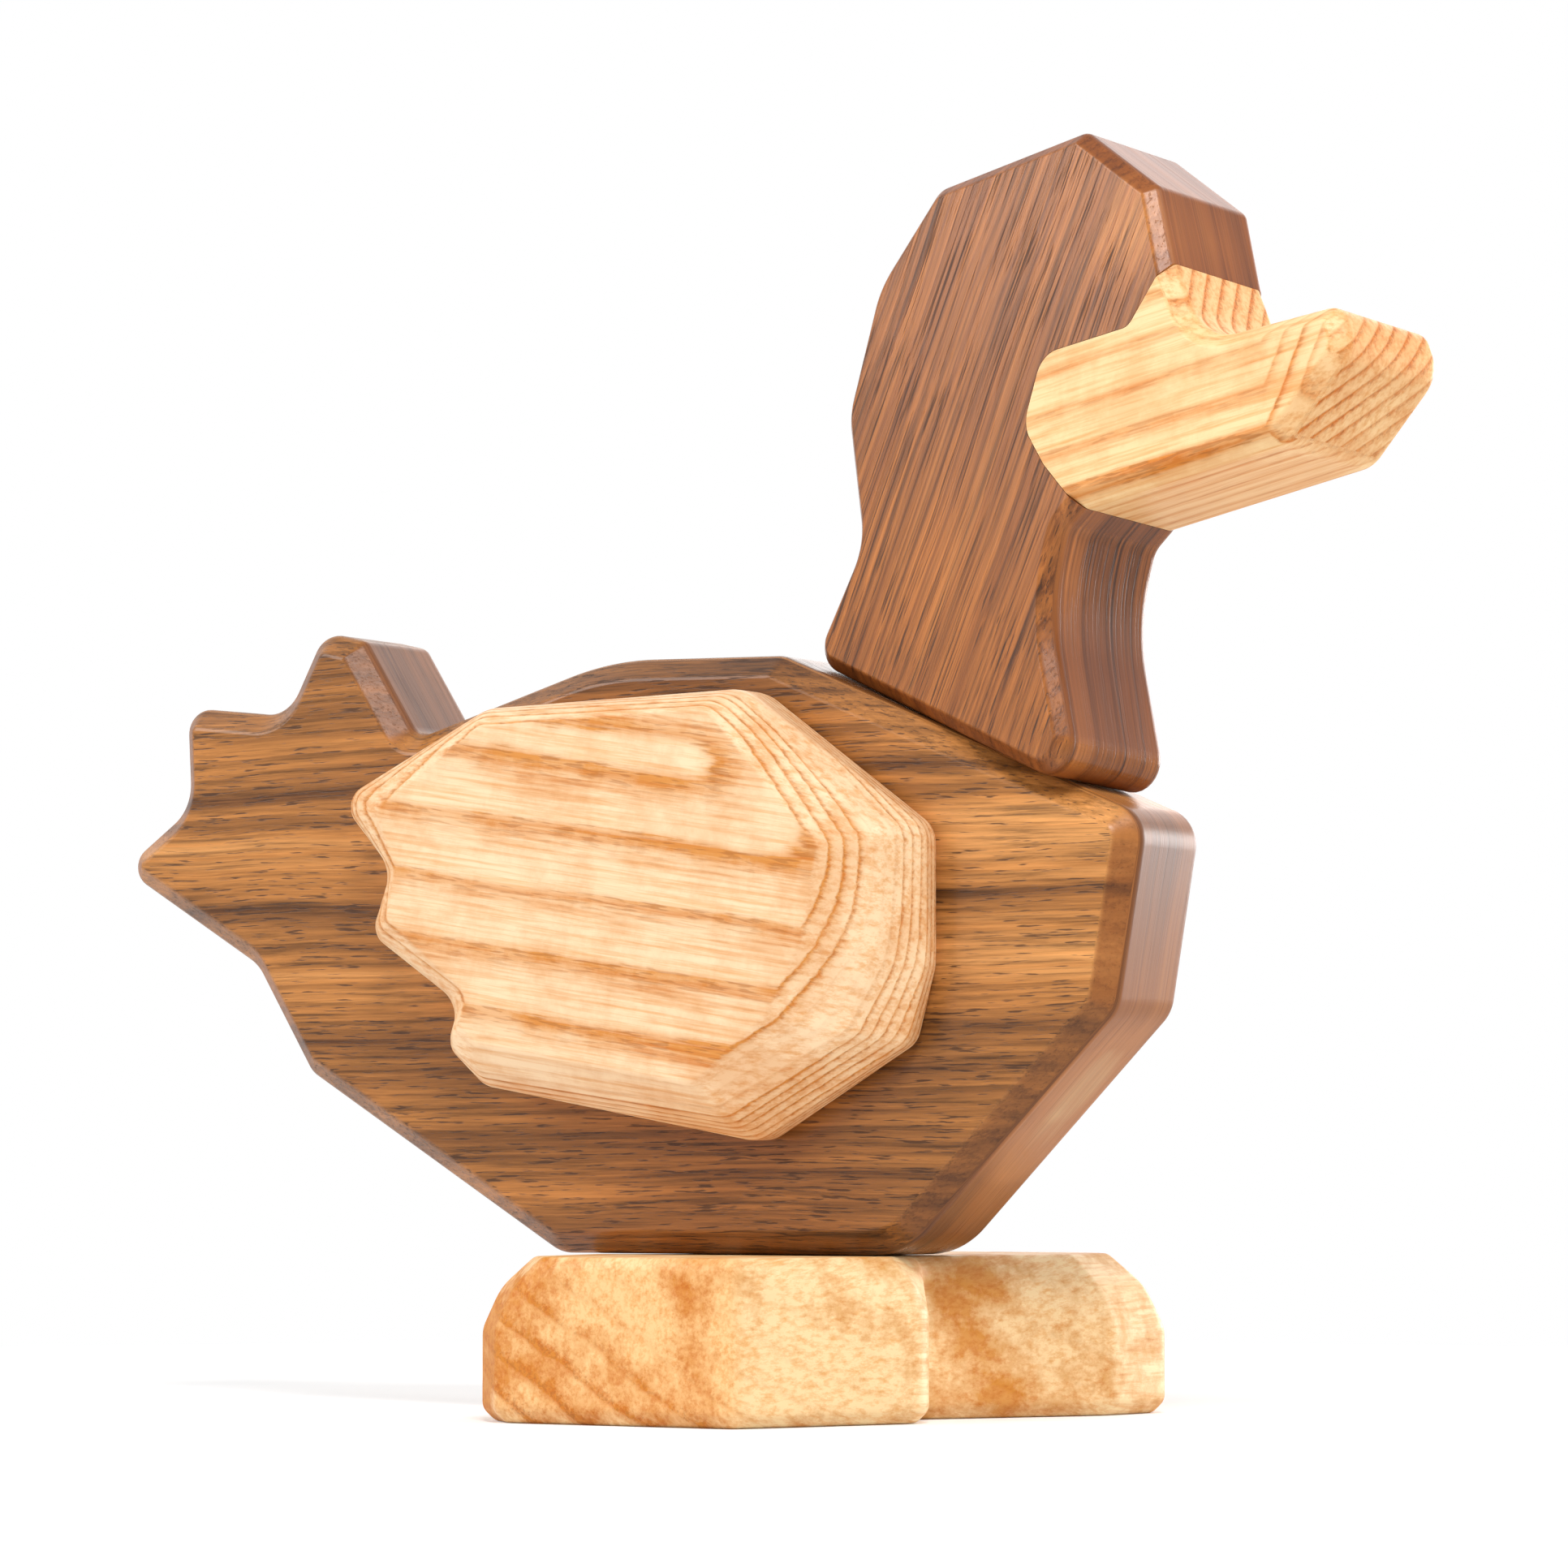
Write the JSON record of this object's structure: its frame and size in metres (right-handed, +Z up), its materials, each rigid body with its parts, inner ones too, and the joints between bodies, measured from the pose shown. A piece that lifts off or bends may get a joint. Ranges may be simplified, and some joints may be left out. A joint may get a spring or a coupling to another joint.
{
  "type": "wooden duck figure",
  "caption": "Flat wooden duck figure in dark and pale wood whose head, wings and feet turn on hidden magnets and pull off.",
  "frame": {"origin": "on the ground, where the swivel axis of the feet meets the flat underside of the feet", "axes": "+X forwards, the way the duck faces, +Y to the duck's left, across the thickness of the body board, +Z up"},
  "size_m": [0.1748, 0.0688, 0.1451],
  "materials": {
    "walnut": "oiled dark brown walnut, fine open grain",
    "ash": "oiled pale ash with bold growth rings",
    "nickel_plate": "bright nickel plate on a magnet disc"
  },
  "bodies": {
    "body": {"body": "walnut", "body_right_magnet": "nickel_plate", "body_right_cover": "walnut", "body_left_magnet": "nickel_plate", "body_left_cover": "walnut", "seat_magnet": "nickel_plate", "seat_cover": "walnut", "belly_magnet": "nickel_plate", "belly_cover": "walnut"},
    "head_lift": {"head_magnet": "nickel_plate"},
    "head": {"head": "walnut", "beak": "ash", "head_cover": "walnut"},
    "right_wing_lift": {"right_wing_magnet": "nickel_plate"},
    "right_wing": {"right_wing": "ash", "right_wing_cover": "ash"},
    "left_wing_lift": {"left_wing_magnet": "nickel_plate"},
    "left_wing": {"left_wing": "ash", "left_wing_cover": "ash"},
    "feet_lift": {"feet_magnet": "nickel_plate"},
    "feet": {"feet": "ash", "feet_cover": "ash"}
  },
  "joints": [
    {"name": "head_pull_off", "type": "slide", "parent": "body", "child": "head_lift", "axis": [0.3906, 0, 0.9205], "range_m": [0, 0.04]},
    {"name": "head_swivel", "type": "hinge", "parent": "head_lift", "child": "head", "pos_m": [0.02957, 0, 0.07672], "axis": [0.3906, 0, 0.9205], "continuous": true},
    {"name": "right_wing_pull_off", "type": "slide", "parent": "body", "child": "right_wing_lift", "axis": [0, -1, 0], "range_m": [0, 0.03]},
    {"name": "right_wing_swivel", "type": "hinge", "parent": "right_wing_lift", "child": "right_wing", "pos_m": [-0.01, 0, 0.0634], "axis": [0, 1, 0], "continuous": true},
    {"name": "left_wing_pull_off", "type": "slide", "parent": "body", "child": "left_wing_lift", "axis": [0, 1, 0], "range_m": [0, 0.03]},
    {"name": "left_wing_swivel", "type": "hinge", "parent": "left_wing_lift", "child": "left_wing", "pos_m": [-0.01, 0, 0.0634], "axis": [0, 1, 0], "range_deg": [-15, 90]},
    {"name": "feet_pull_off", "type": "slide", "parent": "body", "child": "feet_lift", "axis": [0, 0, -1], "range_m": [0, 0.03]},
    {"name": "feet_swivel", "type": "hinge", "parent": "feet_lift", "child": "feet", "pos_m": [0, 0, 0.0186], "axis": [0, 0, -1], "continuous": true}
  ]
}
